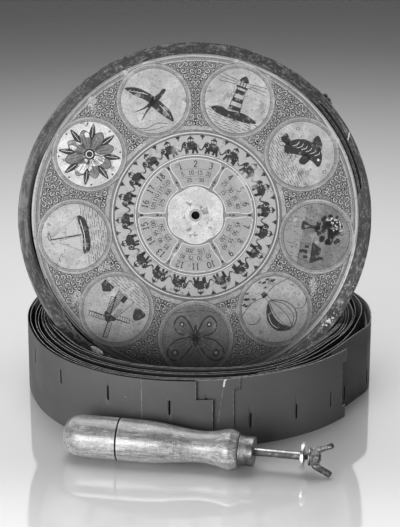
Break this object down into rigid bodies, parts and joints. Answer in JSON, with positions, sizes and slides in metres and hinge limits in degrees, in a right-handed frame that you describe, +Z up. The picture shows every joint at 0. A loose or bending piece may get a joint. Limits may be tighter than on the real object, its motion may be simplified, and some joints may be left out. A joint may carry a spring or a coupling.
{
  "type": "tachyscope",
  "caption": "Hand-held picture-strip viewer taken apart: a shallow card drum leans in a roll of slotted strips, with its turned handle, spindle and wing nut in front.",
  "frame": {"origin": "on the table, under the middle of the whole set's footprint", "axes": "+Z up, -Y towards the printed face of the drum and the handle in front, +X to the right seen from the front"},
  "size_m": [0.293, 0.3338, 0.2749],
  "materials": {
    "strip_card": "smooth dark printed card with light cut edges",
    "board_card": "raw grey board, matte",
    "label_paper": "aged printed paper, matte",
    "hoop_card": "dark paper-covered card, worn",
    "grip_wood": "turned, light, waxed, stained with age",
    "ferrule_metal": "tarnished sheet metal",
    "bush_brass": "plain turned",
    "spindle_steel": "turned and plated, worn",
    "nut_iron": "cast, dull, tarnished"
  },
  "bodies": {
    "strip_01": {"strip_01": "strip_card"},
    "strip_02": {"strip_02": "strip_card"},
    "strip_03": {"strip_03": "strip_card"},
    "strip_04": {"strip_04": "strip_card"},
    "strip_05": {"strip_05": "strip_card"},
    "strip_06": {"strip_06": "strip_card"},
    "strip_07": {"strip_07": "strip_card"},
    "strip_08": {"strip_08": "strip_card"},
    "strip_09": {"strip_09": "strip_card"},
    "strip_10": {"strip_10": "strip_card"},
    "drum": {"drum_base_board": "board_card", "drum_label": "label_paper", "board_seat_ring": "board_card", "hoop_inner_lap": "hoop_card", "hoop_middle_lap": "hoop_card", "hoop_outer_lap": "hoop_card", "hoop_joint_patch": "hoop_card"},
    "handle": {"handle_grip": "grip_wood", "ferrule": "ferrule_metal", "spindle_bush": "bush_brass"},
    "spindle": {"spindle_rod": "spindle_steel", "spindle_flange": "spindle_steel", "thrust_collar": "spindle_steel", "collar_pin": "spindle_steel"},
    "clamp_washer": {"clamp_washer": "nut_iron"},
    "wing_nut": {"wing_nut": "nut_iron"}
  },
  "joints": [
    {"name": "drum_lift", "type": "slide", "parent": "strip_01", "child": "drum", "axis": [0, 0.4067, 0.9135], "range_m": [0, 0.3]},
    {"name": "strip_02_lift", "type": "slide", "parent": "strip_01", "child": "strip_02", "axis": [0, 0, 1], "range_m": [0, 0.018]},
    {"name": "strip_03_lift", "type": "slide", "parent": "strip_01", "child": "strip_03", "axis": [0, 0, 1], "range_m": [0, 0.036]},
    {"name": "strip_04_lift", "type": "slide", "parent": "strip_01", "child": "strip_04", "axis": [0, 0, 1], "range_m": [0, 0.054]},
    {"name": "strip_05_lift", "type": "slide", "parent": "strip_01", "child": "strip_05", "axis": [0, 0, 1], "range_m": [0, 0.072]},
    {"name": "strip_06_lift", "type": "slide", "parent": "strip_01", "child": "strip_06", "axis": [0, 0, 1], "range_m": [0, 0.09]},
    {"name": "strip_07_lift", "type": "slide", "parent": "strip_01", "child": "strip_07", "axis": [0, 0, 1], "range_m": [0, 0.108]},
    {"name": "strip_08_lift", "type": "slide", "parent": "strip_01", "child": "strip_08", "axis": [0, 0, 1], "range_m": [0, 0.126]},
    {"name": "strip_09_lift", "type": "slide", "parent": "strip_01", "child": "strip_09", "axis": [0, 0, 1], "range_m": [0, 0.144]},
    {"name": "strip_10_lift", "type": "slide", "parent": "strip_01", "child": "strip_10", "axis": [0, 0, 1], "range_m": [0, 0.162]},
    {"name": "handle_lift", "type": "slide", "parent": "strip_01", "child": "handle", "axis": [0, 0, 1], "range_m": [0, 0.12]},
    {"name": "spindle_spin", "type": "hinge", "parent": "handle", "child": "spindle", "pos_m": [0.04705, -0.15004, 0.01545], "axis": [0.982, -0.1886, -0.0112], "continuous": true},
    {"name": "washer_slide", "type": "slide", "parent": "spindle", "child": "clamp_washer", "axis": [0.982, -0.1886, -0.0112], "range_m": [-0.003, 0.01]},
    {"name": "wing_nut_turn", "type": "hinge", "parent": "clamp_washer", "child": "wing_nut", "pos_m": [0.09124, -0.15852, 0.01495], "axis": [0.982, -0.1886, -0.0112], "range_deg": [-1080, 3600]}
  ],
  "couplings": [
    {"joint": "strip_02_lift", "follows": "drum_lift", "ratio": 0.06},
    {"joint": "strip_03_lift", "follows": "drum_lift", "ratio": 0.12},
    {"joint": "strip_04_lift", "follows": "drum_lift", "ratio": 0.18},
    {"joint": "strip_05_lift", "follows": "drum_lift", "ratio": 0.24},
    {"joint": "strip_06_lift", "follows": "drum_lift", "ratio": 0.3},
    {"joint": "strip_07_lift", "follows": "drum_lift", "ratio": 0.36},
    {"joint": "strip_08_lift", "follows": "drum_lift", "ratio": 0.42},
    {"joint": "strip_09_lift", "follows": "drum_lift", "ratio": 0.48},
    {"joint": "strip_10_lift", "follows": "drum_lift", "ratio": 0.54},
    {"joint": "washer_slide", "follows": "wing_nut_turn", "m_per_rad": 0.00015915}
  ]
}
